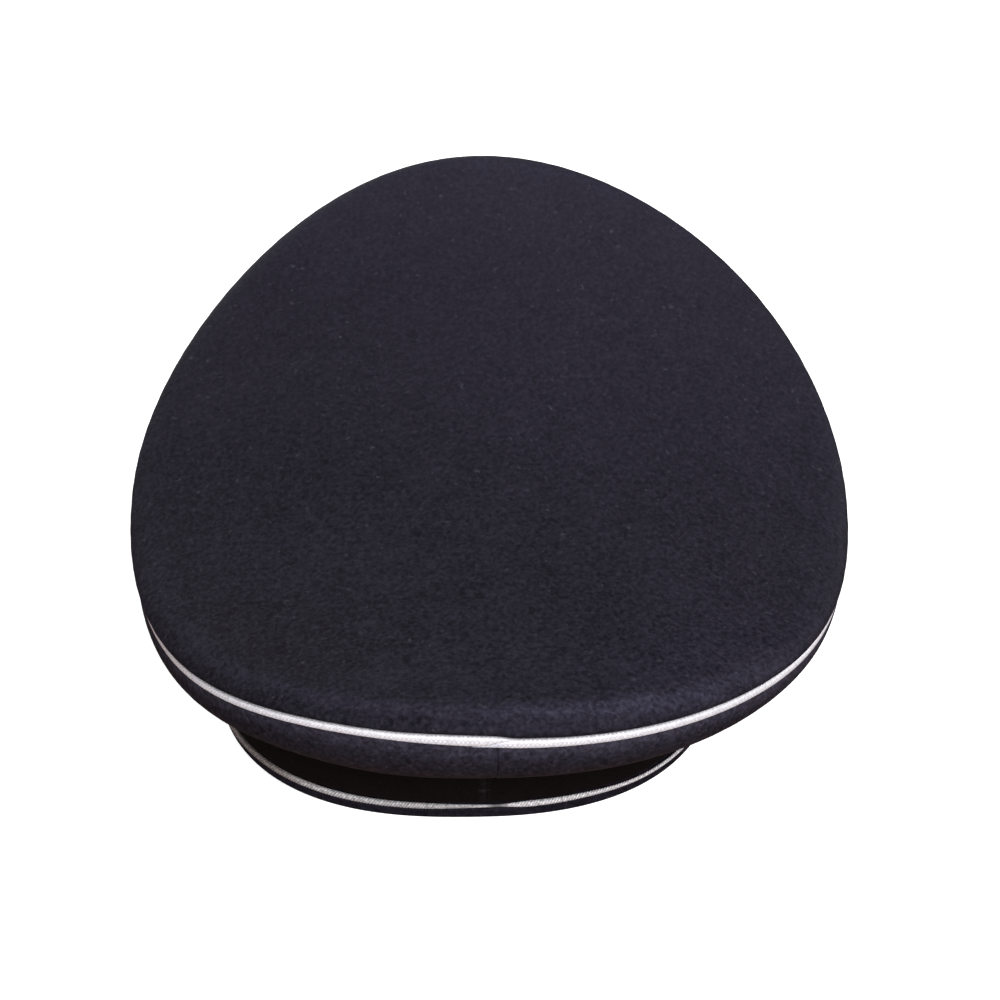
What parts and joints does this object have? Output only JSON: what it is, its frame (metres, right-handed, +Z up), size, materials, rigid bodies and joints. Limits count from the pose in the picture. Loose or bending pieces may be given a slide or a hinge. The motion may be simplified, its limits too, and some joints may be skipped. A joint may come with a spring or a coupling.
{
  "type": "peaked cap",
  "caption": "Peaked cap with a taut oval crown, high at the front, corded at its rim, on a velvet-faced band with a corded foot and a plain peak; worn on the head.",
  "frame": {"origin": "on the table, under the middle of the cap's outline as it rests on its peak and the back of its band", "axes": "+Z up, front and peak towards -Y, +X the wearer's left"},
  "size_m": [0.2568, 0.2804, 0.159],
  "materials": {
    "wool": "milled wool with a short nap",
    "velvet": "black velvet",
    "silver_cord": "woven silver cord",
    "patent": "black patent gloss"
  },
  "bodies": {
    "root": {"crown_top": "wool", "crown_side_left": "wool", "crown_side_right": "wool", "crown_piping": "silver_cord", "band_base": "wool", "band": "velvet", "band_piping": "silver_cord", "peak": "patent"}
  },
  "joints": []
}
